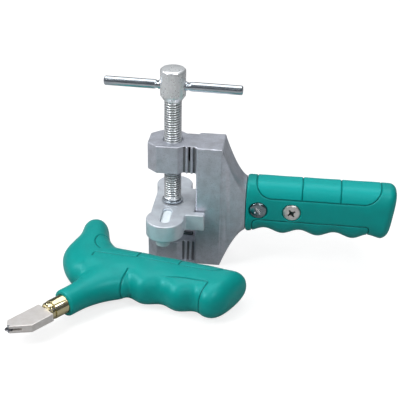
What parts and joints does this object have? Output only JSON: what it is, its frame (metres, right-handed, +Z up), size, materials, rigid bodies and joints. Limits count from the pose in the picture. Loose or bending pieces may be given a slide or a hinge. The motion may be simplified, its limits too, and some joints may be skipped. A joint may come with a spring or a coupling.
{
  "type": "glass cutter set",
  "caption": "Wheel glass cutter with a moulded pistol handle, lying beside a screw-operated glass-breaking clamp with a matching grip.",
  "frame": {"origin": "on the clamp screw's axis, at the flat underside of the clamp's lower arm", "axes": "+X along the clamp's grip, away from its jaws; -Y towards the cutter and the user; +Z up along the screw"},
  "size_m": [0.2402, 0.1642, 0.1413],
  "materials": {
    "cast_aluminium": "satin cast, lightly grained",
    "machined_aluminium": "smooth machined",
    "zinc_plated_steel": "bright zinc plate",
    "bright_steel": "bright drawn",
    "spring_steel": "oiled black",
    "dark_plated_steel": "dark nickel plate",
    "nickel_plated_steel": "nickel plate",
    "teal_moulding": "semi-gloss moulded",
    "foot_nylon": "smooth moulded",
    "brass": "polished",
    "ground_steel": "fine ground",
    "carbide": "dark ground carbide"
  },
  "bodies": {
    "frame": {"clamp_frame": "cast_aluminium", "clamp_grip": "teal_moulding", "grip_screw_front": "dark_plated_steel", "grip_screw_rear": "nickel_plated_steel", "fulcrum_rod": "bright_steel"},
    "jaw": {"pressure_bar": "machined_aluminium", "foot_near": "foot_nylon", "foot_far": "foot_nylon"},
    "spindle": {"spindle_screw": "zinc_plated_steel", "tommy_bar": "bright_steel", "thrust_washer": "bright_steel", "lower_washer": "bright_steel", "retaining_ring": "spring_steel"},
    "cutter": {"cutter_handle": "teal_moulding", "brass_ferrule": "brass", "cutter_head": "ground_steel", "wheel_axle": "bright_steel"},
    "wheel": {"cutting_wheel": "carbide"}
  },
  "joints": [
    {"name": "jaw_slide", "type": "slide", "parent": "frame", "child": "jaw", "axis": [0, 0, 1], "range_m": [-0.012, 0.025]},
    {"name": "screw_turn", "type": "hinge", "parent": "jaw", "child": "spindle", "pos_m": [0, 0, 0.1], "axis": [0, 0, 1], "range_deg": [-2460, 5140]},
    {"name": "cutter_lift", "type": "slide", "parent": "frame", "child": "cutter", "axis": [0, -0.6, 0.8], "range_m": [0, 0.2]},
    {"name": "wheel_spin", "type": "hinge", "parent": "cutter", "child": "wheel", "pos_m": [-0.08415, -0.12306, 0.013], "axis": [0, 0, 1], "continuous": true}
  ],
  "couplings": [
    {"joint": "jaw_slide", "follows": "screw_turn", "m_per_rad": 0.00027852}
  ]
}
